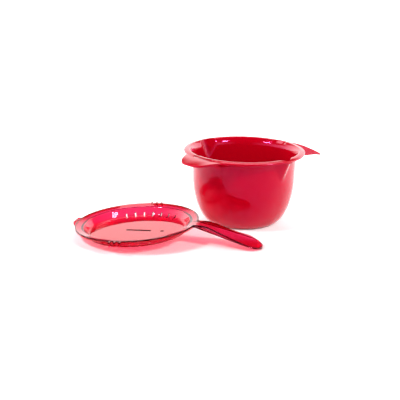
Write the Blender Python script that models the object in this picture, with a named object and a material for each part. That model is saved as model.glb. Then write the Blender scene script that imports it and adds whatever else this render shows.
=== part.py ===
"""A mixing bowl with two pour spouts, and the strainer with a handle that hooks onto its rim.

Each piece is one plastic moulding of even wall thickness. Its section changes all the way
round: the bowl's rim swells into a handle, a helper grip and two V-shaped spouts, and the
strainer's rim runs out into a long handle. So each body is lofted through radial sections,
and slots, slits and hooks are then cut or joined with Booleans.

Frame: metres, +Z up, origin on the table under the middle of the bowl, +X along its handle.
The strainer is modelled in a frame of its own, handle on +X, and laid beside the bowl.
"""
import math

import bmesh
import bpy
from mathutils import Matrix, Vector

COLLECTION = "mixing_bowl_and_strainer"

# Bowl
BOWL_WALL = 0.0026
BOWL_HEIGHT = 0.142
FLOOR_RADIUS = 0.0625
SHOULDER_RADIUS = 0.0966
SHOULDER_HEIGHT = 0.0955
WALL_FULLNESS = 1.24
NECK_RADIUS = 0.0982
NECK_DROP = 0.0055
NECK_RING_SHARE = 0.55
OPENING_RADIUS = 0.1015
FLANGE_RADIUS = 0.1165
CREST_RADIUS = 0.107
CREST_FALL = 0.005
CREST_ROLL = 0.0022
LIP_DEPTH = 0.0032

# V-shaped pour spouts, on -Y and +Y
SPOUT_AZIMUTHS = (math.radians(90), math.radians(270))
SPOUT_TIP_RADIUS = 0.1155
SPOUT_EDGE_RADIUS = 0.1198
SPOUT_LEAN = 0.45
SPOUT_SPREAD = 0.86
SPOUT_NOSE = 0.035
SPOUT_DIP = 0.0006
SPOUT_DIP_HALF_ANGLE = math.radians(9)
SPOUT_LIP = 0.0003
SPOUT_LIMIT = math.radians(45)

# Bowl handle on +X: a hollow wedge, open below
HANDLE_TIP = 0.2155
HANDLE_ROUNDING = 0.012
HANDLE_HALF_WIDTH = 0.0215
HANDLE_DROOP = 0.0395
HANDLE_CURVE = 1.28
HANDLE_SKIRT_NEAR = 0.0335
HANDLE_SKIRT_X = 0.150
HANDLE_SKIRT_SLOPE = 0.085
HANDLE_SKIRT_GAP = 0.002
HANDLE_SKIRT_RAMP = 0.014

# Helper grip on -X, with a finger slot along its root
GRIP_REACH = 0.0305
GRIP_FLAT = math.radians(6)
GRIP_END = math.radians(27)
GRIP_DROOP = 0.005
GRIP_CURVE = 1.5
GRIP_LIP = 0.0006
SLOT_RADIUS = 0.1130
SLOT_WIDTH = 0.0065
SLOT_HALF_ANGLE = math.radians(11)
SLOT_CUT_DEPTH = 0.030

# Strainer
STRAINER_WALL = 0.0024
PAN_FLOOR_RADIUS = 0.0875
PAN_CORNER = 0.006
PAN_CORNER_TURNS = (0, math.radians(35), math.radians(70))
PAN_WALL_RADIUS = 0.0975
PAN_WALL_TOP = 0.0145
PAN_SHOULDER_OUT = 0.0015
PAN_SHOULDER_UP = 0.0019
PAN_UNDERSIDE_DROP = 0.0008
PAN_RIM_START = 0.102
PAN_RIM_FALL = 0.0036
RIM_RADIUS = 0.1147
RIM_HEIGHT = 0.0206
RIM_LIP = 0.0052
LEAST_LIP = 0.0001

# Strainer handle on its own +X: a shallow dished paddle that droops to the table
PADDLE_TIP = 0.236
PADDLE_ROUNDING = 0.030
PADDLE_NECK = 0.0150
PADDLE_WIDTH = 0.0260
PADDLE_NECK_X = 0.122
PADDLE_WIDE_X = 0.182
PADDLE_SLOPE = 0.43
PADDLE_BEND_X = 0.1395
PADDLE_BEND = 0.008
PADDLE_DISH = 0.004
PADDLE_DISH_RAMP = 0.030
PADDLE_LIP = 0.0028
PADDLE_TIP_LIP = 0.004

# Drain openings in the strainer
SLIT_COUNT = 7
SLIT_STEP = math.radians(10.7)
SLIT_WIDTH = 0.0024
SLIT_INNER = 0.0845
SLIT_OUTER = 0.104
SLIT_TOP = 0.0075
SLIT_BOTTOM = -0.002
FLOOR_CUT_DEPTH = 0.010
FLOOR_SLOT_LENGTH = 0.049
FLOOR_SLOT_WIDTH = 0.0065
FLOOR_SLOT_X = 0.002
FLOOR_HOLE_X = 0.048
FLOOR_HOLE_RADIUS = 0.0034

# Rim hooks on the strainer, in groups at its left, right and far side
HOOK_AZIMUTHS = (math.radians(90), math.radians(180), math.radians(270))
HOOKS_IN_GROUP = 3
HOOK_STEP = math.radians(4.7)
HOOK_WIDTH = 0.0031
HOOK_ROOT = 0.1130
HOOK_REACH = 0.1225
HOOK_ARM = 0.0029
HOOK_LEG = 0.0085
HOOK_BELOW_RIM = 0.0004

# Where the strainer lies
STRAINER_X = -0.2195
STRAINER_Y = 0.0577
STRAINER_TURN = math.radians(-59.5)
STRAINER_ROLL = math.radians(1.2)
REST_GAP = 0.0001

# Loft resolution
COARSE_STEP = 6
FINE_STEP = 1.5
FINE_HALF_SPAN = 12
WALL_RINGS = 7
RIM_RINGS = 5
BLEND = 40
CREASE_BLEND = 90


def clear_scene():
    for obj in list(bpy.data.objects):
        bpy.data.objects.remove(obj, do_unlink=True)


def make_collection(name):
    collection = bpy.data.collections.new(name)
    bpy.context.scene.collection.children.link(collection)
    return collection


def plastic(name, color, roughness, transmission=0.0):
    material = bpy.data.materials.new(name)
    material.use_nodes = True
    shader = material.node_tree.nodes["Principled BSDF"]
    shader.inputs["Base Color"].default_value = (*color, 1.0)
    shader.inputs["Roughness"].default_value = roughness
    shader.inputs["Metallic"].default_value = 0.0
    shader.inputs["Transmission Weight"].default_value = transmission
    return material


# Shape helpers

def clamp(value):
    return min(1.0, max(0.0, value))


def smooth(value):
    value = clamp(value)
    return value * value * (3 - 2 * value)


def mix(start, end, amount):
    return start + (end - start) * amount


def union_radius(radii, sharpness=BLEND):
    """Largest of several radii, with a fillet where two of them meet."""
    return sum(radius ** sharpness for radius in radii) ** (1 / sharpness)


def angle_between(azimuth, centre):
    return abs((azimuth - centre + math.pi) % (2 * math.pi) - math.pi)


def tongue_radius(azimuth, inset, tip, half_width):
    """Distance from the axis to the edge of a round-ended tongue on +X, along an azimuth."""
    angle = angle_between(azimuth, 0)
    if angle > math.radians(30):
        return 0.0
    inside, outside = 0.0, tip - inset
    for _ in range(40):
        middle = (inside + outside) / 2
        if half_width(middle) - inset > middle * math.tan(angle):
            inside = middle
        else:
            outside = middle
    return inside / math.cos(angle)


def round_end(x, tip, rounding):
    """Share of the full width that a tongue still has near its elliptical end."""
    along = clamp((x - tip + rounding) / rounding)
    return math.sqrt(1 - along * along)


def column_azimuths():
    """Loft columns: close together across the handle, evenly spaced elsewhere."""
    fine = int(2 * FINE_HALF_SPAN / FINE_STEP)
    coarse = int((360 - 2 * FINE_HALF_SPAN) / COARSE_STEP)
    degrees = [-FINE_HALF_SPAN + FINE_STEP * i for i in range(fine)]
    degrees += [FINE_HALF_SPAN + COARSE_STEP * i for i in range(coarse)]
    return [math.radians(value) for value in degrees]


# Bowl

def wall_radius(height):
    """Inner radius of the round wall: a bowl-shaped arc, then nearly straight to the neck."""
    rise = clamp((height - BOWL_WALL) / (SHOULDER_HEIGHT - BOWL_WALL))
    turn = math.acos(1 - rise)
    radius = mix(FLOOR_RADIUS, SHOULDER_RADIUS, math.sin(turn) ** WALL_FULLNESS)
    above = clamp((height - SHOULDER_HEIGHT) / (BOWL_HEIGHT - NECK_DROP - SHOULDER_HEIGHT))
    return radius + (NECK_RADIUS - SHOULDER_RADIUS) * above


def spout_angle(azimuth):
    """Angle to the nearer spout's middle."""
    return min(angle_between(azimuth, centre) for centre in SPOUT_AZIMUTHS)


def spout_radius(azimuth, height, grow=0.0):
    """Radius of the spouts' round-nosed V walls at a height, or 0 away from the spouts."""
    angle = spout_angle(azimuth)
    if angle > SPOUT_LIMIT:
        return 0.0
    crease = SPOUT_TIP_RADIUS + grow - (BOWL_HEIGHT - height) * SPOUT_LEAN
    nose = math.hypot(math.sin(angle), SPOUT_NOSE) - SPOUT_NOSE
    return crease / (math.cos(angle) + SPOUT_SPREAD * nose)


def inner_radius(azimuth, height):
    return union_radius((wall_radius(height), spout_radius(azimuth, height)), CREASE_BLEND)


def handle_half_width(x):
    return HANDLE_HALF_WIDTH * round_end(x, HANDLE_TIP, HANDLE_ROUNDING)


def grip_share(azimuth):
    """1 across the helper grip, falling smoothly to 0 at its ends."""
    angle = angle_between(azimuth, math.pi)
    return 1 - smooth((angle - GRIP_FLAT) / (GRIP_END - GRIP_FLAT))


def bowl_outline(azimuth, inset=0.0):
    """Plan outline of the flange with its handle, grip and spouts, moved inwards by inset."""
    grip = FLANGE_RADIUS + GRIP_REACH * grip_share(azimuth) - inset
    handle = tongue_radius(azimuth, inset, HANDLE_TIP, handle_half_width)
    spout = spout_radius(azimuth, BOWL_HEIGHT, SPOUT_EDGE_RADIUS - SPOUT_TIP_RADIUS - inset)
    return union_radius((grip, handle, spout))


def bowl_top(azimuth, radius):
    """Height of the flange's upper face: a round crest, falling along handle, grip and spouts."""
    inward = clamp((CREST_RADIUS - radius) / (CREST_RADIUS - OPENING_RADIUS))
    rolled = clamp((radius - CREST_RADIUS) / (FLANGE_RADIUS - CREST_RADIUS))
    dip = 1 - smooth(spout_angle(azimuth) / SPOUT_DIP_HALF_ANGLE)
    height = BOWL_HEIGHT - CREST_FALL * inward ** 2 - CREST_ROLL * rolled ** 2 - SPOUT_DIP * dip * rolled
    along = radius * math.cos(azimuth) - FLANGE_RADIUS
    if along > 0:
        height -= HANDLE_DROOP * (along / (HANDLE_TIP - FLANGE_RADIUS)) ** HANDLE_CURVE
    outward = clamp((radius - FLANGE_RADIUS) / GRIP_REACH)
    return height - GRIP_DROOP * outward ** GRIP_CURVE * grip_share(azimuth)


def bowl_edge_bottom(azimuth, radius):
    """Height of the edge's lower end: a short lip, a deeper one on the grip, a skirt on the handle."""
    lip = bowl_top(azimuth, radius) - LIP_DEPTH - GRIP_LIP * grip_share(azimuth)
    along = radius * math.cos(azimuth)
    skirt = BOWL_HEIGHT - HANDLE_SKIRT_NEAR - HANDLE_SKIRT_SLOPE * (along - HANDLE_SKIRT_X)
    start = FLANGE_RADIUS + HANDLE_SKIRT_GAP
    return mix(lip, min(lip, skirt), smooth((along - start) / HANDLE_SKIRT_RAMP))


def opening_radius(azimuth):
    """Where the flange's face meets the inner wall, found by stepping towards the crossing."""
    radius = OPENING_RADIUS
    for _ in range(12):
        height = bowl_top(azimuth, radius)
        radius = union_radius((OPENING_RADIUS, spout_radius(azimuth, height)), CREASE_BLEND)
    return radius


def bowl_section(azimuth):
    """Closed radial section of the bowl, from the middle of the floor round to the underside."""
    opening = opening_radius(azimuth)
    inner = []
    for i in range(WALL_RINGS + 1):
        turn = math.radians(90) * i / WALL_RINGS
        height = BOWL_WALL + (SHOULDER_HEIGHT - BOWL_WALL) * (1 - math.cos(turn))
        inner.append((inner_radius(azimuth, height), height))
    for share in (NECK_RING_SHARE, 1.0):
        height = mix(SHOULDER_HEIGHT, bowl_top(azimuth, opening) - NECK_DROP, share)
        inner.append((inner_radius(azimuth, height), height))
    edge = bowl_outline(azimuth)
    root = max(bowl_outline(azimuth, BOWL_WALL), opening + BOWL_WALL + SPOUT_LIP)
    top = [mix(opening, edge, i / RIM_RINGS) for i in range(RIM_RINGS + 1)]
    under = [mix(opening + BOWL_WALL, root, i / RIM_RINGS) for i in range(RIM_RINGS + 1)]
    section = inner + [(radius, bowl_top(azimuth, radius)) for radius in top]
    section += [(edge, bowl_edge_bottom(azimuth, edge)), (root, bowl_edge_bottom(azimuth, root))]
    section += [(radius, bowl_top(azimuth, radius) - BOWL_WALL) for radius in reversed(under)]
    return section + [outer_point(inner, i) for i in reversed(range(len(inner)))]


def outer_point(inner, index):
    """The wall's outer point: its inner one moved out by the wall thickness, square to the wall."""
    if index == 0:
        return inner[0][0] + BOWL_WALL, 0.0
    before, after = inner[index - 1], inner[min(index + 1, len(inner) - 1)]
    run = Vector((after[0] - before[0], after[1] - before[1])).normalized()
    radius, height = inner[index]
    return radius + run.y * BOWL_WALL, max(0.0, height - run.x * BOWL_WALL)


# Strainer

def paddle_half_width(x):
    width = mix(PADDLE_NECK, PADDLE_WIDTH, smooth((x - PADDLE_NECK_X) / (PADDLE_WIDE_X - PADDLE_NECK_X)))
    return width * round_end(x, PADDLE_TIP, PADDLE_ROUNDING)


def strainer_outline(azimuth, inset=0.0):
    paddle = tongue_radius(azimuth, inset, PADDLE_TIP, paddle_half_width)
    return union_radius((RIM_RADIUS - inset, paddle))


def paddle_droop(x):
    """Level at the rim, then a soft bend into a straight slope down to the tip."""
    past = x - PADDLE_BEND_X
    return PADDLE_SLOPE * (math.hypot(past, PADDLE_BEND) + past) / 2


def strainer_top(azimuth, radius, dish_share=1.0):
    """Height of the rim's upper face: it falls to the pan, and droops and dishes on the handle."""
    inward = clamp((RIM_RADIUS - radius) / (RIM_RADIUS - PAN_RIM_START))
    height = RIM_HEIGHT - PAN_RIM_FALL * inward
    x, y = radius * math.cos(azimuth), radius * math.sin(azimuth)
    along = x - RIM_RADIUS
    if along <= 0:
        return height
    across = clamp(abs(y) / paddle_half_width(min(x, PADDLE_TIP - PADDLE_ROUNDING)))
    ends = smooth(along / PADDLE_DISH_RAMP) * smooth((PADDLE_TIP - x) / PADDLE_DISH_RAMP)
    dish = PADDLE_DISH * dish_share * (1 - across ** 4) * ends
    return height - paddle_droop(x) - dish


def strainer_edge_bottom(azimuth, radius):
    """Lower end of the turned-down edge: shallower at the handle's neck, full again at its tip."""
    along = radius * math.cos(azimuth) - RIM_RADIUS
    neck = smooth(along / PADDLE_DISH_RAMP)
    end = smooth(along / (PADDLE_TIP - RIM_RADIUS))
    lip = mix(RIM_LIP, mix(PADDLE_LIP, PADDLE_TIP_LIP, end), neck)
    least = strainer_top(azimuth, radius) - STRAINER_WALL - LEAST_LIP
    return min(strainer_top(azimuth, radius, 0.0) - lip, least)


def strainer_section(azimuth):
    """Closed radial section of the strainer, from the floor's edge round to its underside."""
    corner_height = STRAINER_WALL + PAN_CORNER
    inner, outer = [], []
    for turn in PAN_CORNER_TURNS:
        for ring, corner in ((inner, PAN_CORNER), (outer, PAN_CORNER + STRAINER_WALL)):
            radius = PAN_FLOOR_RADIUS + corner * math.sin(turn)
            ring.append((radius, corner_height - corner * math.cos(turn)))
    shoulder = (PAN_WALL_RADIUS + PAN_SHOULDER_OUT, PAN_WALL_TOP + PAN_SHOULDER_UP)
    inner += [(PAN_WALL_RADIUS, PAN_WALL_TOP), shoulder]
    outer += [(radius + STRAINER_WALL, height - PAN_UNDERSIDE_DROP) for radius, height in inner[-2:]]
    edge, root = strainer_outline(azimuth), strainer_outline(azimuth, STRAINER_WALL)
    top = [mix(PAN_RIM_START, edge, i / RIM_RINGS) for i in range(RIM_RINGS + 1)]
    under = [mix(PAN_RIM_START + STRAINER_WALL / 2, root, i / RIM_RINGS) for i in range(RIM_RINGS + 1)]
    section = inner + [(radius, strainer_top(azimuth, radius)) for radius in top]
    section += [(edge, strainer_edge_bottom(azimuth, edge)), (root, strainer_edge_bottom(azimuth, root))]
    section += [(radius, strainer_top(azimuth, radius) - STRAINER_WALL) for radius in reversed(under)]
    return section + outer[::-1]


# Mesh builders

def new_object(name, mesh, collection):
    obj = bpy.data.objects.new(name, mesh)
    collection.objects.link(obj)
    return obj


def loft(name, section, collection):
    """Closed body through one radial section per column, with a flat disc above and below."""
    bm = bmesh.new()
    columns = []
    for azimuth in column_azimuths():
        flat = Vector((math.cos(azimuth), math.sin(azimuth), 0))
        points = [flat * radius + Vector((0, 0, height)) for radius, height in section(azimuth)]
        columns.append([bm.verts.new(point) for point in points])
    for first, second in zip(columns, columns[1:] + columns[:1]):
        for low, high in zip(range(len(first)), range(1, len(first))):
            bm.faces.new((first[low], first[high], second[high], second[low]))
    bm.faces.new([column[0] for column in columns])
    bm.faces.new([column[-1] for column in reversed(columns)])
    mesh = bpy.data.meshes.new(name)
    bm.to_mesh(mesh)
    bm.free()
    mesh.shade_smooth()
    mesh.set_sharp_from_angle(angle=math.radians(35))
    return new_object(name, mesh, collection)


def plate(name, outline, thickness, collection):
    """Flat plate from an outline in X and Y, centred on its own Z = 0."""
    curve = bpy.data.curves.new(name, "CURVE")
    curve.dimensions = "2D"
    curve.fill_mode = "BOTH"
    curve.extrude = thickness / 2
    spline = curve.splines.new("POLY")
    spline.points.add(len(outline) - 1)
    for point, (x, y) in zip(spline.points, outline):
        point.co = (x, y, 0, 1)
    spline.use_cyclic_u = True
    source = new_object(name + "_curve", curve, collection)
    bpy.context.view_layer.update()
    evaluated = source.evaluated_get(bpy.context.evaluated_depsgraph_get())
    mesh = bpy.data.meshes.new_from_object(evaluated)
    bpy.data.objects.remove(source, do_unlink=True)
    bpy.data.curves.remove(curve)
    bm = bmesh.new()
    bm.from_mesh(mesh)
    bmesh.ops.remove_doubles(bm, verts=bm.verts, dist=0.00001)
    bmesh.ops.recalc_face_normals(bm, faces=bm.faces)
    bm.to_mesh(mesh)
    bm.free()
    return new_object(name, mesh, collection)


def box(name, size, collection):
    bm = bmesh.new()
    bmesh.ops.create_cube(bm, size=1, matrix=Matrix.Diagonal((*size, 1)))
    mesh = bpy.data.meshes.new(name)
    bm.to_mesh(mesh)
    bm.free()
    return new_object(name, mesh, collection)


def arc(centre_x, centre_y, radius, start, end, steps):
    for i in range(steps + 1):
        angle = mix(start, end, i / steps)
        yield centre_x + radius * math.cos(angle), centre_y + radius * math.sin(angle)


def set_as_cutter(obj):
    obj.hide_render = True
    obj.display_type = "WIRE"


def combine(target, tool, operation):
    modifier = target.modifiers.new(f"{operation.lower()}_{tool.name}", "BOOLEAN")
    modifier.operation = operation
    modifier.solver = "EXACT"
    modifier.object = tool
    set_as_cutter(tool)


# Cutters and hooks

def grip_slot_cutter(collection):
    """Finger slot along the grip's root: a bent slot with round ends."""
    end_radius = SLOT_WIDTH / 2
    ends = [math.pi - SLOT_HALF_ANGLE, math.pi + SLOT_HALF_ANGLE]
    outline = list(arc(0, 0, SLOT_RADIUS + end_radius, ends[0], ends[1], 8))
    last = Vector((math.cos(ends[1]), math.sin(ends[1]))) * SLOT_RADIUS
    outline += list(arc(last.x, last.y, end_radius, ends[1], ends[1] + math.pi, 6))[1:-1]
    outline += list(arc(0, 0, SLOT_RADIUS - end_radius, ends[1], ends[0], 8))
    first = Vector((math.cos(ends[0]), math.sin(ends[0]))) * SLOT_RADIUS
    outline += list(arc(first.x, first.y, end_radius, ends[0] - math.pi, ends[0], 6))[1:-1]
    cutter = plate("grip_slot_cutter", outline, SLOT_CUT_DEPTH, collection)
    cutter.location.z = BOWL_HEIGHT
    return cutter


def floor_slot_cutter(collection):
    """Long slot in the middle of the strainer's floor, along the handle."""
    half, end_radius = (FLOOR_SLOT_LENGTH - FLOOR_SLOT_WIDTH) / 2, FLOOR_SLOT_WIDTH / 2
    outline = list(arc(half, 0, end_radius, -math.pi / 2, math.pi / 2, 6))
    outline += list(arc(-half, 0, end_radius, math.pi / 2, math.pi * 1.5, 6))
    cutter = plate("floor_slot_cutter", outline, FLOOR_CUT_DEPTH, collection)
    cutter.location = (FLOOR_SLOT_X, 0, STRAINER_WALL / 2)
    return cutter


def floor_hole_cutter(collection):
    """Small round hole in the floor, between the slot and the handle."""
    outline = list(arc(0, 0, FLOOR_HOLE_RADIUS, 0, 2 * math.pi, 12))[:-1]
    cutter = plate("floor_hole_cutter", outline, FLOOR_CUT_DEPTH, collection)
    cutter.location = (FLOOR_HOLE_X, 0, STRAINER_WALL / 2)
    return cutter


def slit_cutters(collection):
    """Two fans of narrow slits through the corner of wall and floor, left and right."""
    for side in (math.radians(90), math.radians(270)):
        for index in range(SLIT_COUNT):
            azimuth = side + (index - (SLIT_COUNT - 1) / 2) * SLIT_STEP
            size = (SLIT_OUTER - SLIT_INNER, SLIT_WIDTH, SLIT_TOP - SLIT_BOTTOM)
            cutter = box(f"slit_cutter_{math.degrees(azimuth):.0f}", size, collection)
            centre = Vector(((SLIT_OUTER + SLIT_INNER) / 2, 0, (SLIT_TOP + SLIT_BOTTOM) / 2))
            cutter.location = Matrix.Rotation(azimuth, 3, "Z") @ centre
            cutter.rotation_euler.z = azimuth
            yield cutter


def rim_hooks(collection):
    """L-shaped hooks that reach out over the bowl's lip and down."""
    leg_start = HOOK_REACH - HOOK_ARM
    top = RIM_HEIGHT - HOOK_BELOW_RIM
    profile = [(HOOK_ROOT, top), (HOOK_ROOT, top - HOOK_ARM), (leg_start, top - HOOK_ARM),
               (leg_start, top - HOOK_LEG), (HOOK_REACH, top - HOOK_LEG), (HOOK_REACH, top)]
    for group in HOOK_AZIMUTHS:
        for index in range(HOOKS_IN_GROUP):
            azimuth = group + (index - (HOOKS_IN_GROUP - 1) / 2) * HOOK_STEP
            hook = plate(f"hook_{math.degrees(azimuth):.0f}", profile, HOOK_WIDTH, collection)
            hook.rotation_euler = (math.pi / 2, 0, azimuth)
            yield hook


def lay_strainer(strainer, attached):
    """Tilt the strainer so that it rests on its floor's far edge and on its handle's tip."""
    lowest = min(point[1] for point in strainer_section(0))
    contact = PAN_FLOOR_RADIUS + PADDLE_TIP
    tilt = math.atan2(-lowest, contact)
    lean = math.acos(math.cos(tilt) * math.cos(STRAINER_ROLL))
    rest = PAN_FLOOR_RADIUS * math.sin(lean) + REST_GAP
    for obj in attached:
        obj.parent = strainer
    strainer.rotation_euler = (STRAINER_ROLL, -tilt, STRAINER_TURN)
    strainer.location = (STRAINER_X, STRAINER_Y, rest)


def build():
    clear_scene()
    parts = make_collection(COLLECTION)
    cutters = make_collection("cutters")
    bowl = loft("bowl", bowl_section, parts)
    bowl.data.materials.append(plastic("red_plastic", (0.62, 0.004, 0.028), 0.22))
    combine(bowl, grip_slot_cutter(cutters), "DIFFERENCE")
    strainer = loft("strainer", strainer_section, parts)
    strainer.data.materials.append(plastic("clear_red_plastic", (0.75, 0.02, 0.08), 0.08, 0.8))
    hooks = list(rim_hooks(cutters))
    drains = [floor_slot_cutter(cutters), floor_hole_cutter(cutters), *slit_cutters(cutters)]
    for hook in hooks:
        combine(strainer, hook, "UNION")
    for drain in drains:
        combine(strainer, drain, "DIFFERENCE")
    lay_strainer(strainer, hooks + drains)


build()
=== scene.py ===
"""Looks of the mixing bowl and its strainer: fine meshes, plastics, studio and camera."""
import math

import bmesh
import bpy
from mathutils import Matrix, Vector


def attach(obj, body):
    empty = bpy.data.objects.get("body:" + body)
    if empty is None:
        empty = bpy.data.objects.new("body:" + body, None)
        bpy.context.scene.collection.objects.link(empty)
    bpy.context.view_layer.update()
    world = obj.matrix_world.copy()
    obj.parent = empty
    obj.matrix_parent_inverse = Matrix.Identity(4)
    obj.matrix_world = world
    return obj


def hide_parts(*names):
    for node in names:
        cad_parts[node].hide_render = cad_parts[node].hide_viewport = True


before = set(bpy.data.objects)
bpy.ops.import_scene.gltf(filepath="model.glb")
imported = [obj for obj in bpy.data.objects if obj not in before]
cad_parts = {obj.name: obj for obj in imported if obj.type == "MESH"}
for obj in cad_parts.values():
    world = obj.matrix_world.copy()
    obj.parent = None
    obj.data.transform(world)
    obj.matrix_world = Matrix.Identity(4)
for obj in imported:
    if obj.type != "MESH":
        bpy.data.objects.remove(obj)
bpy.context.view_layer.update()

# Bowl: the design's driving sizes, in metres
BOWL_WALL = 0.0026
BOWL_HEIGHT = 0.142
FLOOR_RADIUS = 0.0625
SHOULDER_RADIUS = 0.0966
SHOULDER_HEIGHT = 0.0955
WALL_FULLNESS = 1.24
NECK_RADIUS = 0.0982
NECK_DROP = 0.0055
OPENING_RADIUS = 0.1015
OPENING_ROUNDING = 0.0022
FLANGE_RADIUS = 0.1165
CREST_RADIUS = 0.107
CREST_FALL = 0.005
CREST_ROLL = 0.0022
LIP_DEPTH = 0.0032
BOWL_EDGE_ROUNDING = 0.0014

# Pour spouts
SPOUT_AZIMUTHS = (math.radians(90), math.radians(270))
SPOUT_TIP_RADIUS = 0.1155
SPOUT_EDGE_RADIUS = 0.1198
SPOUT_LEAN = 0.45
SPOUT_SPREAD = 0.86
SPOUT_NOSE = 0.035
SPOUT_DIP = 0.0006
SPOUT_DIP_HALF_ANGLE = math.radians(9)
SPOUT_LIP = 0.0003
SPOUT_LIMIT = math.radians(45)

# Bowl handle on +X
HANDLE_TIP = 0.2155
HANDLE_ROUNDING = 0.012
HANDLE_HALF_WIDTH = 0.0215
HANDLE_DROOP = 0.0395
HANDLE_CURVE = 1.28
HANDLE_SKIRT_NEAR = 0.0335
HANDLE_SKIRT_X = 0.150
HANDLE_SKIRT_SLOPE = 0.085
HANDLE_SKIRT_GAP = 0.002
HANDLE_SKIRT_RAMP = 0.014

# Helper grip on -X and its finger slot
GRIP_REACH = 0.0305
GRIP_FLAT = math.radians(6)
GRIP_END = math.radians(27)
GRIP_DROOP = 0.005
GRIP_CURVE = 1.5
GRIP_LIP = 0.0006
SLOT_RADIUS = 0.1130
SLOT_WIDTH = 0.0065
SLOT_HALF_ANGLE = math.radians(11)
SLOT_CUT_DEPTH = 0.030

# Strainer
STRAINER_WALL = 0.0024
PAN_FLOOR_RADIUS = 0.0875
PAN_CORNER = 0.006
PAN_CORNER_STEPS = 8
PAN_CORNER_TURN = math.radians(70)
PAN_WALL_RADIUS = 0.0975
PAN_WALL_TOP = 0.0145
PAN_SHOULDER_OUT = 0.0015
PAN_SHOULDER_UP = 0.0019
PAN_UNDERSIDE_DROP = 0.0008
PAN_RIM_START = 0.102
PAN_RIM_FALL = 0.0036
RIM_RADIUS = 0.1147
RIM_HEIGHT = 0.0206
RIM_LIP = 0.0052
LEAST_LIP = 0.0001
STRAINER_EDGE_ROUNDING = 0.0011

# Strainer handle on its own +X
PADDLE_TIP = 0.236
PADDLE_ROUNDING = 0.030
PADDLE_NECK = 0.0150
PADDLE_WIDTH = 0.0260
PADDLE_NECK_X = 0.122
PADDLE_WIDE_X = 0.182
PADDLE_SLOPE = 0.43
PADDLE_BEND_X = 0.1395
PADDLE_BEND = 0.008
PADDLE_DISH = 0.004
PADDLE_DISH_RAMP = 0.030
PADDLE_LIP = 0.0028
PADDLE_TIP_LIP = 0.004

# Drain openings
SLIT_COUNT = 7
SLIT_STEP = math.radians(10.7)
SLIT_WIDTH = 0.0024
SLIT_INNER = 0.0845
SLIT_OUTER = 0.104
SLIT_TOP = 0.0075
SLIT_BOTTOM = -0.002
FLOOR_SLOT_LENGTH = 0.049
FLOOR_SLOT_WIDTH = 0.0065
FLOOR_SLOT_X = 0.002
FLOOR_HOLE_X = 0.048
FLOOR_HOLE_RADIUS = 0.0034
FLOOR_CUT_DEPTH = 0.010

# Rim hooks
HOOK_AZIMUTHS = (math.radians(90), math.radians(180), math.radians(270))
HOOKS_IN_GROUP = 3
HOOK_STEP = math.radians(4.7)
HOOK_WIDTH = 0.0031
HOOK_ROOT = 0.1130
HOOK_REACH = 0.1225
HOOK_ARM = 0.0029
HOOK_LEG = 0.0085
HOOK_BELOW_RIM = 0.0004

# Where the strainer lies
STRAINER_X = -0.2195
STRAINER_Y = 0.0577
STRAINER_TURN = math.radians(-59.5)
STRAINER_ROLL = math.radians(1.2)
REST_GAP = 0.0001

# Mesh resolution
COARSE_STEP = 2
FINE_STEP = 0.25
FINE_HALF_SPAN = 12
WALL_RINGS = 26
NECK_RINGS = 7
RIM_RINGS = 12
EDGE_STEPS = 5
DISC_RINGS = 6
BLEND = 40
CREASE_BLEND = 90
TONGUE_LIMIT = math.radians(30)
BISECTIONS = 30
CROSSING_STEPS = 12
SHARP_ANGLE = math.radians(40)

# Studio: the camera looks along the studio's +Y, turned by this angle from the part's
STUDIO_TURN = math.radians(-44)
CAMERA_PLACE = (-0.0834, -1.8732, 0.5912)
CAMERA_PITCH = math.radians(16.47)
CAMERA_ROLL = math.radians(1.16)
CAMERA_LENS = 90.0
FLOOR_DROP = 0.0002
STUDIO_FLOOR_REACH = 9
GLOW_START = -0.2
GLOW_FULL = 0.3
GLOW_STRENGTH = 0.8
FRONT_LEVEL = 0.03
BACK_LEVEL = 1.8
RIGHT_LEVEL = 2.6
LEFT_LEVEL = 2.6
CEILING_SHARE = 0.08


# Shape helpers

def clamp(value):
    return min(1.0, max(0.0, value))


def smooth(value):
    value = clamp(value)
    return value * value * (3 - 2 * value)


def mix(start, end, amount):
    return start + (end - start) * amount


def union_radius(radii, sharpness=BLEND):
    """Largest of several radii, with a fillet where two of them meet."""
    return sum(radius ** sharpness for radius in radii) ** (1 / sharpness)


def angle_between(azimuth, centre):
    return abs((azimuth - centre + math.pi) % (2 * math.pi) - math.pi)


def tongue_radius(azimuth, inset, tip, half_width):
    """Distance from the axis to the edge of a round-ended tongue on +X, along an azimuth."""
    angle = angle_between(azimuth, 0)
    if angle > TONGUE_LIMIT:
        return 0.0
    inside, outside = 0.0, tip - inset
    for _ in range(BISECTIONS):
        middle = (inside + outside) / 2
        if half_width(middle) - inset > middle * math.tan(angle):
            inside = middle
        else:
            outside = middle
    return inside / math.cos(angle)


def round_end(x, tip, rounding):
    """Share of the full width that a tongue still has near its elliptical end."""
    along = clamp((x - tip + rounding) / rounding)
    return math.sqrt(1 - along * along)


def column_azimuths():
    """Loft columns: close together across the handle, evenly spaced elsewhere."""
    fine = int(2 * FINE_HALF_SPAN / FINE_STEP)
    coarse = int((360 - 2 * FINE_HALF_SPAN) / COARSE_STEP)
    degrees = [-FINE_HALF_SPAN + FINE_STEP * i for i in range(fine)]
    degrees += [FINE_HALF_SPAN + COARSE_STEP * i for i in range(coarse)]
    return [math.radians(value) for value in degrees]


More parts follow.
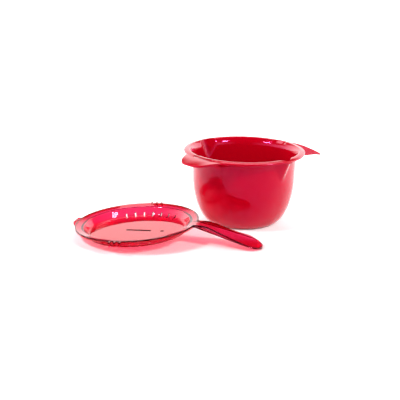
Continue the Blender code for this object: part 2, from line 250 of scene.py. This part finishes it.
def edge_rings(azimuth, outline, top, bottom, wall, rounding):
    """Points over a rounded outer edge, down its face, and round its lower end to the inside."""
    points = []
    for i in range(1, EDGE_STEPS + 1):
        turn = math.radians(90) * i / EDGE_STEPS
        radius = outline(azimuth, rounding * (1 - math.sin(turn)))
        points.append((radius, top(azimuth, radius) - rounding * (1 - math.cos(turn))))
    half = wall / 2
    for i in range(EDGE_STEPS + 1):
        turn = math.radians(180) * i / EDGE_STEPS
        radius = outline(azimuth, half * (1 - math.cos(turn)))
        points.append((radius, bottom(azimuth, radius) + half * (1 - math.sin(turn))))
    return points


def softened(points, index, reach, steps=4):
    """Section with one sharp corner replaced by a short curve."""
    corner = Vector(points[index])
    start = corner + (Vector(points[index - 1]) - corner).normalized() * reach
    end = corner + (Vector(points[index + 1]) - corner).normalized() * reach
    curve = []
    for i in range(steps + 1):
        share = i / steps
        curve.append(tuple(start.lerp(corner, share).lerp(corner.lerp(end, share), share)))
    return points[:index] + curve + points[index + 1:]


# Bowl

def wall_radius(height):
    """Inner radius of the round wall: a bowl-shaped arc, then nearly straight to the neck."""
    rise = clamp((height - BOWL_WALL) / (SHOULDER_HEIGHT - BOWL_WALL))
    turn = math.acos(1 - rise)
    radius = mix(FLOOR_RADIUS, SHOULDER_RADIUS, math.sin(turn) ** WALL_FULLNESS)
    above = clamp((height - SHOULDER_HEIGHT) / (BOWL_HEIGHT - NECK_DROP - SHOULDER_HEIGHT))
    return radius + (NECK_RADIUS - SHOULDER_RADIUS) * above


def spout_angle(azimuth):
    """Angle to the nearer spout's middle."""
    return min(angle_between(azimuth, centre) for centre in SPOUT_AZIMUTHS)


def spout_radius(azimuth, height, grow=0.0):
    """Radius of the spouts' round-nosed V walls at a height, or 0 away from the spouts."""
    angle = spout_angle(azimuth)
    if angle > SPOUT_LIMIT:
        return 0.0
    crease = SPOUT_TIP_RADIUS + grow - (BOWL_HEIGHT - height) * SPOUT_LEAN
    nose = math.hypot(math.sin(angle), SPOUT_NOSE) - SPOUT_NOSE
    return crease / (math.cos(angle) + SPOUT_SPREAD * nose)


def inner_radius(azimuth, height):
    return union_radius((wall_radius(height), spout_radius(azimuth, height)), CREASE_BLEND)


def handle_half_width(x):
    return HANDLE_HALF_WIDTH * round_end(x, HANDLE_TIP, HANDLE_ROUNDING)


def grip_share(azimuth):
    """1 across the helper grip, falling smoothly to 0 at its ends."""
    angle = angle_between(azimuth, math.pi)
    return 1 - smooth((angle - GRIP_FLAT) / (GRIP_END - GRIP_FLAT))


def opening_radius(azimuth):
    """Where the flange's face meets the inner wall, found by stepping towards the crossing."""
    radius = OPENING_RADIUS
    for _ in range(CROSSING_STEPS):
        height = bowl_top(azimuth, radius)
        radius = union_radius((OPENING_RADIUS, spout_radius(azimuth, height)), CREASE_BLEND)
    return radius


def bowl_outline(azimuth, inset=0.0):
    """Plan outline of the flange with its handle, grip and spouts, moved inwards by inset."""
    grip = FLANGE_RADIUS + GRIP_REACH * grip_share(azimuth) - inset
    handle = tongue_radius(azimuth, inset, HANDLE_TIP, handle_half_width)
    spout = spout_radius(azimuth, BOWL_HEIGHT, SPOUT_EDGE_RADIUS - SPOUT_TIP_RADIUS - inset)
    return union_radius((grip, handle, spout))


def bowl_top(azimuth, radius):
    """Height of the flange's upper face: a round crest, falling along handle, grip and spouts."""
    inward = clamp((CREST_RADIUS - radius) / (CREST_RADIUS - OPENING_RADIUS))
    rolled = clamp((radius - CREST_RADIUS) / (FLANGE_RADIUS - CREST_RADIUS))
    dip = 1 - smooth(spout_angle(azimuth) / SPOUT_DIP_HALF_ANGLE)
    height = BOWL_HEIGHT - CREST_FALL * inward ** 2 - CREST_ROLL * rolled ** 2
    height -= SPOUT_DIP * dip * rolled
    along = radius * math.cos(azimuth) - FLANGE_RADIUS
    if along > 0:
        height -= HANDLE_DROOP * (along / (HANDLE_TIP - FLANGE_RADIUS)) ** HANDLE_CURVE
    outward = clamp((radius - FLANGE_RADIUS) / GRIP_REACH)
    return height - GRIP_DROOP * outward ** GRIP_CURVE * grip_share(azimuth)


def bowl_edge_bottom(azimuth, radius):
    """Height of the edge's lower end: a short lip, a deeper one on the grip, a skirt on the handle."""
    lip = bowl_top(azimuth, radius) - LIP_DEPTH - GRIP_LIP * grip_share(azimuth)
    along = radius * math.cos(azimuth)
    skirt = BOWL_HEIGHT - HANDLE_SKIRT_NEAR - HANDLE_SKIRT_SLOPE * (along - HANDLE_SKIRT_X)
    share = smooth((along - FLANGE_RADIUS - HANDLE_SKIRT_GAP) / HANDLE_SKIRT_RAMP)
    return mix(lip, min(lip, skirt), share)


def bowl_section(azimuth):
    """Closed radial section of the bowl, from the middle of the floor round to the underside."""
    opening = opening_radius(azimuth)
    wall = []
    for i in range(WALL_RINGS + 1):
        turn = math.radians(90) * i / WALL_RINGS
        height = BOWL_WALL + (SHOULDER_HEIGHT - BOWL_WALL) * (1 - math.cos(turn))
        wall.append((inner_radius(azimuth, height), height))
    for i in range(1, NECK_RINGS + 1):
        height = mix(SHOULDER_HEIGHT, bowl_top(azimuth, opening) - NECK_DROP, i / NECK_RINGS)
        wall.append((inner_radius(azimuth, height), height))
    slim = opening + BOWL_WALL + SPOUT_LIP

    def outline(angle, inset):
        """The edge moved inwards, but kept clear of the wall where a spout comes near it."""
        narrowed = mix(bowl_outline(angle), slim, clamp(inset / BOWL_WALL))
        return max(bowl_outline(angle, inset), narrowed)

    edge = outline(azimuth, BOWL_EDGE_ROUNDING)
    root = outline(azimuth, BOWL_WALL)
    top = [mix(opening, edge, i / RIM_RINGS) for i in range(RIM_RINGS + 1)]
    under = [mix(opening + BOWL_WALL, root, i / RIM_RINGS) for i in range(RIM_RINGS + 1)]
    face = [(radius, bowl_top(azimuth, radius)) for radius in top]
    inner = softened(wall + face, len(wall), OPENING_ROUNDING / 2)
    lip = edge_rings(azimuth, outline, bowl_top, bowl_edge_bottom, BOWL_WALL, BOWL_EDGE_ROUNDING)
    back = [(radius, bowl_top(azimuth, radius) - BOWL_WALL) for radius in reversed(under)]
    return inner + lip + back + [outer_point(wall, i) for i in reversed(range(len(wall)))]


def outer_point(inner, index):
    """The wall's outer point: its inner one moved out by the wall thickness, square to the wall."""
    if index == 0:
        return inner[0][0] + BOWL_WALL, 0.0
    before, after = inner[index - 1], inner[min(index + 1, len(inner) - 1)]
    run = Vector((after[0] - before[0], after[1] - before[1])).normalized()
    radius, height = inner[index]
    return radius + run.y * BOWL_WALL, max(0.0, height - run.x * BOWL_WALL)


# Strainer

def paddle_half_width(x):
    width = mix(PADDLE_NECK, PADDLE_WIDTH, smooth((x - PADDLE_NECK_X) / (PADDLE_WIDE_X - PADDLE_NECK_X)))
    return width * round_end(x, PADDLE_TIP, PADDLE_ROUNDING)


def strainer_outline(azimuth, inset=0.0):
    paddle = tongue_radius(azimuth, inset, PADDLE_TIP, paddle_half_width)
    return union_radius((RIM_RADIUS - inset, paddle))


def paddle_droop(x):
    """Level at the rim, then a soft bend into a straight slope down to the tip."""
    past = x - PADDLE_BEND_X
    return PADDLE_SLOPE * (math.hypot(past, PADDLE_BEND) + past) / 2


def strainer_top(azimuth, radius, dish_share=1.0):
    """Height of the rim's upper face: it falls to the pan, and droops and dishes on the handle."""
    inward = clamp((RIM_RADIUS - radius) / (RIM_RADIUS - PAN_RIM_START))
    height = RIM_HEIGHT - PAN_RIM_FALL * inward
    x, y = radius * math.cos(azimuth), radius * math.sin(azimuth)
    along = x - RIM_RADIUS
    if along <= 0:
        return height
    across = clamp(abs(y) / paddle_half_width(min(x, PADDLE_TIP - PADDLE_ROUNDING)))
    ends = smooth(along / PADDLE_DISH_RAMP) * smooth((PADDLE_TIP - x) / PADDLE_DISH_RAMP)
    dish = PADDLE_DISH * dish_share * (1 - across ** 4) * ends
    return height - paddle_droop(x) - dish


def strainer_edge_bottom(azimuth, radius):
    """Lower end of the turned-down edge: shallower at the handle's neck, full again at its tip."""
    along = radius * math.cos(azimuth) - RIM_RADIUS
    neck = smooth(along / PADDLE_DISH_RAMP)
    end = smooth(along / (PADDLE_TIP - RIM_RADIUS))
    lip = mix(RIM_LIP, mix(PADDLE_LIP, PADDLE_TIP_LIP, end), neck)
    least = strainer_top(azimuth, radius) - STRAINER_WALL - LEAST_LIP
    return min(strainer_top(azimuth, radius, 0.0) - lip, least)


def strainer_section(azimuth):
    """Closed radial section of the strainer, from the floor's edge round to its underside."""
    corner_height = STRAINER_WALL + PAN_CORNER
    inner, outer = [], []
    for i in range(PAN_CORNER_STEPS + 1):
        turn = PAN_CORNER_TURN * i / PAN_CORNER_STEPS
        for ring, corner in ((inner, PAN_CORNER), (outer, PAN_CORNER + STRAINER_WALL)):
            radius = PAN_FLOOR_RADIUS + corner * math.sin(turn)
            ring.append((radius, corner_height - corner * math.cos(turn)))
    shoulder = (PAN_WALL_RADIUS + PAN_SHOULDER_OUT, PAN_WALL_TOP + PAN_SHOULDER_UP)
    inner += [(PAN_WALL_RADIUS, PAN_WALL_TOP), shoulder]
    outer += [(radius + STRAINER_WALL, height - PAN_UNDERSIDE_DROP) for radius, height in inner[-2:]]
    edge = strainer_outline(azimuth, STRAINER_EDGE_ROUNDING)
    root = strainer_outline(azimuth, STRAINER_WALL)
    top = [mix(PAN_RIM_START, edge, i / RIM_RINGS) for i in range(RIM_RINGS + 1)]
    under = [mix(PAN_RIM_START + STRAINER_WALL / 2, root, i / RIM_RINGS) for i in range(RIM_RINGS + 1)]
    face = inner + [(radius, strainer_top(azimuth, radius)) for radius in top]
    lip = edge_rings(azimuth, strainer_outline, strainer_top, strainer_edge_bottom,
                     STRAINER_WALL, STRAINER_EDGE_ROUNDING)
    back = [(radius, strainer_top(azimuth, radius) - STRAINER_WALL) for radius in reversed(under)]
    return face + lip + back + outer[::-1]


# Mesh builders

def new_object(name, mesh):
    obj = bpy.data.objects.new(name, mesh)
    bpy.context.scene.collection.objects.link(obj)
    return obj


def add_disc(bm, rim, rings, flip):
    """Flat disc inside a ring of points, in concentric rows of quads."""
    centre = sum((vert.co for vert in rim), Vector()) / len(rim)
    rows = [rim]
    for i in range(1, rings):
        share = i / rings
        rows.append([bm.verts.new(vert.co.lerp(centre, share)) for vert in rim])
    for outer, inner in zip(rows, rows[1:]):
        for i in range(len(rim)):
            quad = [outer[i - 1], outer[i], inner[i], inner[i - 1]]
            bm.faces.new(quad[::-1] if flip else quad)
    bm.faces.new(rows[-1][::-1] if flip else rows[-1])


def loft(name, section):
    """Closed body through one radial section per column, with a flat disc above and below."""
    bm = bmesh.new()
    columns = []
    for azimuth in column_azimuths():
        flat = Vector((math.cos(azimuth), math.sin(azimuth), 0))
        points = [flat * radius + Vector((0, 0, height)) for radius, height in section(azimuth)]
        columns.append([bm.verts.new(point) for point in points])
    for first, second in zip(columns, columns[1:] + columns[:1]):
        for low, high in zip(range(len(first)), range(1, len(first))):
            bm.faces.new((first[low], first[high], second[high], second[low]))
    add_disc(bm, [column[0] for column in columns], DISC_RINGS, False)
    add_disc(bm, [column[-1] for column in columns], DISC_RINGS, True)
    mesh = bpy.data.meshes.new(name)
    bm.to_mesh(mesh)
    bm.free()
    return new_object(name, mesh)


def add_prism(bm, outline, matrix, thickness):
    """Prism on a flat outline in X and Y, centred on Z = 0 and then placed by a matrix."""
    low, high = [
        [bm.verts.new(matrix @ Vector((x, y, side * thickness / 2))) for x, y in outline]
        for side in (-1, 1)
    ]
    bm.faces.new(low[::-1])
    bm.faces.new(high)
    for i in range(len(outline)):
        bm.faces.new((low[i - 1], low[i], high[i], high[i - 1]))


def tool(name, prisms):
    bm = bmesh.new()
    for outline, matrix, thickness in prisms:
        add_prism(bm, outline, matrix, thickness)
    bmesh.ops.recalc_face_normals(bm, faces=bm.faces)
    mesh = bpy.data.meshes.new(name)
    bm.to_mesh(mesh)
    bm.free()
    return new_object(name, mesh)


def apply_boolean(target, other, operation):
    modifier = target.modifiers.new(operation.lower(), "BOOLEAN")
    modifier.operation = operation
    modifier.solver = "MANIFOLD"
    modifier.object = other
    settle(target)
    mesh = other.data
    bpy.data.objects.remove(other, do_unlink=True)
    bpy.data.meshes.remove(mesh)


def settle(obj):
    """Turn an object's modifiers into its mesh."""
    bpy.context.view_layer.update()
    evaluated = obj.evaluated_get(bpy.context.evaluated_depsgraph_get())
    mesh = bpy.data.meshes.new_from_object(evaluated)
    old = obj.data
    obj.modifiers.clear()
    obj.data = mesh
    bpy.data.meshes.remove(old)


def arc(centre_x, centre_y, radius, start, end, steps):
    for i in range(steps + 1):
        angle = mix(start, end, i / steps)
        yield centre_x + radius * math.cos(angle), centre_y + radius * math.sin(angle)


def turned(azimuth):
    return Matrix.Rotation(azimuth, 4, "Z")


def lifted(x, z):
    return Matrix.Translation((x, 0, z))


# Cutters and hooks

def grip_slot_prism():
    """Finger slot along the grip's root: a bent slot with round ends."""
    end_radius = SLOT_WIDTH / 2
    ends = [math.pi - SLOT_HALF_ANGLE, math.pi + SLOT_HALF_ANGLE]
    outline = list(arc(0, 0, SLOT_RADIUS + end_radius, ends[0], ends[1], 24))
    last = Vector((math.cos(ends[1]), math.sin(ends[1]))) * SLOT_RADIUS
    outline += list(arc(last.x, last.y, end_radius, ends[1], ends[1] + math.pi, 12))[1:-1]
    outline += list(arc(0, 0, SLOT_RADIUS - end_radius, ends[1], ends[0], 24))
    first = Vector((math.cos(ends[0]), math.sin(ends[0]))) * SLOT_RADIUS
    outline += list(arc(first.x, first.y, end_radius, ends[0] - math.pi, ends[0], 12))[1:-1]
    return outline, lifted(0, BOWL_HEIGHT), SLOT_CUT_DEPTH


def floor_prisms():
    """The long slot and the small round hole in the strainer's floor."""
    half, end_radius = (FLOOR_SLOT_LENGTH - FLOOR_SLOT_WIDTH) / 2, FLOOR_SLOT_WIDTH / 2
    slot = list(arc(half, 0, end_radius, -math.pi / 2, math.pi / 2, 12))
    slot += list(arc(-half, 0, end_radius, math.pi / 2, math.pi * 1.5, 12))
    hole = list(arc(0, 0, FLOOR_HOLE_RADIUS, 0, 2 * math.pi, 24))[:-1]
    yield slot, lifted(FLOOR_SLOT_X, STRAINER_WALL / 2), FLOOR_CUT_DEPTH
    yield hole, lifted(FLOOR_HOLE_X, STRAINER_WALL / 2), FLOOR_CUT_DEPTH


def slit_prisms():
    """Two fans of narrow slits through the corner of wall and floor, left and right."""
    half = SLIT_WIDTH / 2
    outline = [(SLIT_INNER, -half), (SLIT_OUTER, -half), (SLIT_OUTER, half), (SLIT_INNER, half)]
    for side in (math.radians(90), math.radians(270)):
        for index in range(SLIT_COUNT):
            azimuth = side + (index - (SLIT_COUNT - 1) / 2) * SLIT_STEP
            middle = (SLIT_TOP + SLIT_BOTTOM) / 2
            yield outline, turned(azimuth) @ lifted(0, middle), SLIT_TOP - SLIT_BOTTOM


def hook_prisms():
    """L-shaped hooks that reach out over the bowl's lip and down, with a rounded heel and toe."""
    leg = HOOK_REACH - HOOK_ARM
    top = RIM_HEIGHT - HOOK_BELOW_RIM
    outline = [(HOOK_ROOT, top), (HOOK_ROOT, top - HOOK_ARM), (leg, top - HOOK_ARM)]
    half = HOOK_ARM / 2
    outline += list(arc(leg + half, top - HOOK_LEG + half, half, math.pi, 2 * math.pi, 8))
    outline += list(arc(HOOK_REACH - half, top - half, half, 0, math.pi / 2, 5))
    for group in HOOK_AZIMUTHS:
        for index in range(HOOKS_IN_GROUP):
            azimuth = group + (index - (HOOKS_IN_GROUP - 1) / 2) * HOOK_STEP
            yield outline, turned(azimuth) @ Matrix.Rotation(math.pi / 2, 4, "X"), HOOK_WIDTH


def strainer_place():
    """Resting on its floor's far edge, tilted down to the handle's tip and rolled a little."""
    lowest = strainer_edge_bottom(0, PADDLE_TIP)
    tilt = math.atan2(-lowest, PAN_FLOOR_RADIUS + PADDLE_TIP)
    lean = math.acos(math.cos(tilt) * math.cos(STRAINER_ROLL))
    rest = PAN_FLOOR_RADIUS * math.sin(lean) + REST_GAP
    place = Matrix.Translation((STRAINER_X, STRAINER_Y, rest)) @ turned(STRAINER_TURN)
    return place @ Matrix.Rotation(-tilt, 4, "Y") @ Matrix.Rotation(STRAINER_ROLL, 4, "X")


def finish(obj, material, body):
    """Smooth shading, material, and the body that the finished piece stands for, whose CAD part it
    hides.
    """
    obj.data.shade_smooth()
    obj.data.set_sharp_from_angle(angle=SHARP_ANGLE)
    weighted = obj.modifiers.new("face_weighted_normals", "WEIGHTED_NORMAL")
    weighted.keep_sharp = True
    obj.data.materials.clear()
    obj.data.materials.append(material)
    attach(obj, body)
    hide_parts(body)


def make_bowl():
    bowl = loft("bowl_moulding", bowl_section)
    apply_boolean(bowl, tool("grip_slot", [grip_slot_prism()]), "DIFFERENCE")
    finish(bowl, bowl_plastic(), "bowl")


def make_strainer():
    strainer = loft("strainer_moulding", strainer_section)
    apply_boolean(strainer, tool("hooks", hook_prisms()), "UNION")
    apply_boolean(strainer, tool("drains", [*floor_prisms(), *slit_prisms()]), "DIFFERENCE")
    strainer.data.transform(strainer_place())
    finish(strainer, strainer_plastic(), "strainer")


# Materials

def material_nodes(name):
    material = bpy.data.materials.new(name)
    material.use_nodes = True
    tree = material.node_tree
    return material, tree, tree.nodes["Principled BSDF"], tree.nodes["Material Output"]


def noise(tree, scale, detail, coordinates):
    node = tree.nodes.new("ShaderNodeTexNoise")
    node.inputs["Scale"].default_value = scale
    node.inputs["Detail"].default_value = detail
    tree.links.new(coordinates, node.inputs["Vector"])
    return node.outputs["Fac"]


def remap(tree, value, low, high, out_low, out_high):
    node = tree.nodes.new("ShaderNodeMapRange")
    limits = {"From Min": low, "From Max": high, "To Min": out_low, "To Max": out_high}
    for name, number in limits.items():
        node.inputs[name].default_value = number
    tree.links.new(value, node.inputs["Value"])
    return node.outputs["Result"]


def bump(tree, height, strength, distance, below=None):
    node = tree.nodes.new("ShaderNodeBump")
    node.inputs["Strength"].default_value = strength
    node.inputs["Distance"].default_value = distance
    tree.links.new(height, node.inputs["Height"])
    if below is not None:
        tree.links.new(below, node.inputs["Normal"])
    return node.outputs["Normal"]


def bowl_plastic():
    """Opaque red plastic with a polished face, a faint moulding ripple and fine handling marks."""
    material, tree, shader, _ = material_nodes("glossy_red_plastic")
    place = tree.nodes.new("ShaderNodeTexCoord").outputs["Object"]
    cloud = noise(tree, 14, 3, place)
    tint = tree.nodes.new("ShaderNodeMix")
    tint.data_type = "RGBA"
    tint.inputs["A"].default_value = (0.42, 0.0001, 0.007, 1)
    tint.inputs["B"].default_value = (0.47, 0.0003, 0.010, 1)
    tree.links.new(cloud, tint.inputs["Factor"])
    tree.links.new(tint.outputs["Result"], shader.inputs["Base Color"])
    marks = noise(tree, 900, 4, place)
    tree.links.new(remap(tree, marks, 0.35, 0.75, 0.07, 0.14), shader.inputs["Roughness"])
    ripple = bump(tree, noise(tree, 60, 2, place), 0.12, 0.0006)
    fine = bump(tree, noise(tree, 1600, 2, place), 0.05, 0.00015, ripple)
    tree.links.new(fine, shader.inputs["Normal"])
    shader.inputs["Specular Tint"].default_value = (1.0, 0.02, 0.42, 1)
    shader.inputs["Coat Weight"].default_value = 0.15
    shader.inputs["Coat Roughness"].default_value = 0.04
    shader.inputs["Subsurface Weight"].default_value = 0.05
    shader.inputs["Subsurface Radius"].default_value = (0.004, 0.0006, 0.0008)
    return material


def strainer_plastic():
    """Clear red plastic: polished, darker where light crosses more of it, with faint flow marks."""
    material, tree, shader, output = material_nodes("clear_red_plastic")
    place = tree.nodes.new("ShaderNodeTexCoord").outputs["Object"]
    shader.inputs["Base Color"].default_value = (1.0, 0.93, 0.94, 1)
    shader.inputs["Transmission Weight"].default_value = 1.0
    shader.inputs["IOR"].default_value = 1.5
    shader.inputs["Specular Tint"].default_value = (1.0, 0.25, 0.35, 1)
    marks = noise(tree, 700, 3, place)
    tree.links.new(remap(tree, marks, 0.4, 0.8, 0.02, 0.07), shader.inputs["Roughness"])
    tree.links.new(bump(tree, noise(tree, 45, 2, place), 0.10, 0.0005), shader.inputs["Normal"])
    absorb = tree.nodes.new("ShaderNodeVolumeAbsorption")
    absorb.inputs["Color"].default_value = (0.92, 0.06, 0.43, 1)
    absorb.inputs["Density"].default_value = 1600
    tree.links.new(absorb.outputs["Volume"], output.inputs["Volume"])
    # A shadow ray passes this surface with a pink tint, so light still reaches the floor
    clear = tree.nodes.new("ShaderNodeBsdfTransparent")
    clear.inputs["Color"].default_value = (0.85, 0.57, 0.67, 1)
    blend = tree.nodes.new("ShaderNodeMixShader")
    path = tree.nodes.new("ShaderNodeLightPath")
    tree.links.new(path.outputs["Is Shadow Ray"], blend.inputs["Fac"])
    tree.links.new(shader.outputs["BSDF"], blend.inputs[1])
    tree.links.new(clear.outputs["BSDF"], blend.inputs[2])
    tree.links.new(blend.outputs["Shader"], output.inputs["Surface"])
    return material


# Studio

def studio(point):
    return turned(STUDIO_TURN) @ Vector(point)


def make_camera():
    data = bpy.data.cameras.new("camera")
    data.lens = CAMERA_LENS
    data.clip_end = 50
    camera = bpy.data.objects.new("camera", data)
    bpy.context.scene.collection.objects.link(camera)
    aim = Matrix.Rotation(math.radians(90) - CAMERA_PITCH, 4, "X") @ Matrix.Rotation(CAMERA_ROLL, 4, "Z")
    camera.matrix_world = turned(STUDIO_TURN) @ Matrix.Translation(CAMERA_PLACE) @ aim
    bpy.context.scene.camera = camera


def make_floor():
    """Wide white floor, glowing behind the bowl as a lit studio sweep does."""
    bm = bmesh.new()
    bmesh.ops.create_circle(bm, cap_ends=True, segments=96, radius=STUDIO_FLOOR_REACH)
    mesh = bpy.data.meshes.new("studio_floor")
    bm.to_mesh(mesh)
    bm.free()
    floor = new_object("studio_floor", mesh)
    floor.location.z = -FLOOR_DROP
    material, tree, shader, _ = material_nodes("white_sweep")
    shader.inputs["Base Color"].default_value = (0.82, 0.82, 0.82, 1)
    shader.inputs["Roughness"].default_value = 0.7
    shader.inputs["Specular IOR Level"].default_value = 0.15
    shader.inputs["Emission Color"].default_value = (1, 1, 1, 1)
    place = tree.nodes.new("ShaderNodeTexCoord").outputs["Object"]
    glow = towards_share(tree, place, (0, 1, 0), GLOW_START, GLOW_FULL, 0, GLOW_STRENGTH)
    tree.links.new(glow, shader.inputs["Emission Strength"])
    floor.data.materials.append(material)


def towards_share(tree, vector, side, low, high, out_low, out_high):
    """A value that changes with how far a place or direction lies towards a studio side."""
    facing = tree.nodes.new("ShaderNodeVectorMath")
    facing.operation = "DOT_PRODUCT"
    facing.inputs[1].default_value = studio(side)
    tree.links.new(vector, facing.inputs[0])
    return remap(tree, facing.outputs["Value"], low, high, out_low, out_high)


def combine(tree, operation, first, second):
    node = tree.nodes.new("ShaderNodeMath")
    node.operation = operation
    tree.links.new(first, node.inputs[0])
    tree.links.new(second, node.inputs[1])
    return node.outputs["Value"]


def make_world():
    """Plain white to the camera; as a light it is bright behind and beside, dim in front and above."""
    world = bpy.data.worlds.new("studio")
    bpy.context.scene.world = world
    world.use_nodes = True
    tree = world.node_tree
    background = tree.nodes["Background"]
    direction = tree.nodes.new("ShaderNodeTexCoord").outputs["Generated"]
    behind = towards_share(tree, direction, (0, 1, 0), -0.35, 0.6, FRONT_LEVEL, BACK_LEVEL)
    right = towards_share(tree, direction, (1, 0, 0), 0.3, 0.95, 0, RIGHT_LEVEL)
    left = towards_share(tree, direction, (-1, 0, 0), 0.3, 0.95, 0, LEFT_LEVEL)
    below_ceiling = towards_share(tree, direction, (0, 0, 1), 0.40, 0.52, 1, CEILING_SHARE)
    path = tree.nodes.new("ShaderNodeLightPath")
    choose = tree.nodes.new("ShaderNodeMix")
    tree.links.new(path.outputs["Is Camera Ray"], choose.inputs["Factor"])
    walls = combine(tree, "ADD", behind, combine(tree, "ADD", right, left))
    tree.links.new(combine(tree, "MULTIPLY", walls, below_ceiling), choose.inputs["A"])
    choose.inputs["B"].default_value = 1.0
    background.inputs["Color"].default_value = (1, 1, 1, 1)
    tree.links.new(choose.outputs["Result"], background.inputs["Strength"])


def soft_box(name, azimuth, elevation, distance, width, height, power):
    """Rectangular light seen from the bowl at an azimuth from the camera, positive to the right."""
    data = bpy.data.lights.new(name, "AREA")
    data.shape = "RECTANGLE"
    data.size, data.size_y = width, height
    data.energy = power
    light = bpy.data.objects.new(name, data)
    bpy.context.scene.collection.objects.link(light)
    flat = distance * math.cos(elevation)
    place = (flat * math.sin(azimuth), -flat * math.cos(azimuth), distance * math.sin(elevation))
    light.location = studio(place)
    light.rotation_euler = studio(place).to_track_quat("Z", "Y").to_euler()


def make_studio():
    make_camera()
    make_floor()
    make_world()
    soft_box("front_right", azimuth=math.radians(50), elevation=math.radians(43),
             distance=1.6, width=0.36, height=0.24, power=15)
    soft_box("front_left", azimuth=math.radians(-65), elevation=math.radians(43),
             distance=1.6, width=0.42, height=0.23, power=16)
    soft_box("back", azimuth=math.radians(175), elevation=math.radians(62),
             distance=1.8, width=1.5, height=0.9, power=13)
    view = bpy.context.scene.view_settings
    view.view_transform = "Standard"
    view.look = "None"


make_bowl()
make_strainer()
make_studio()
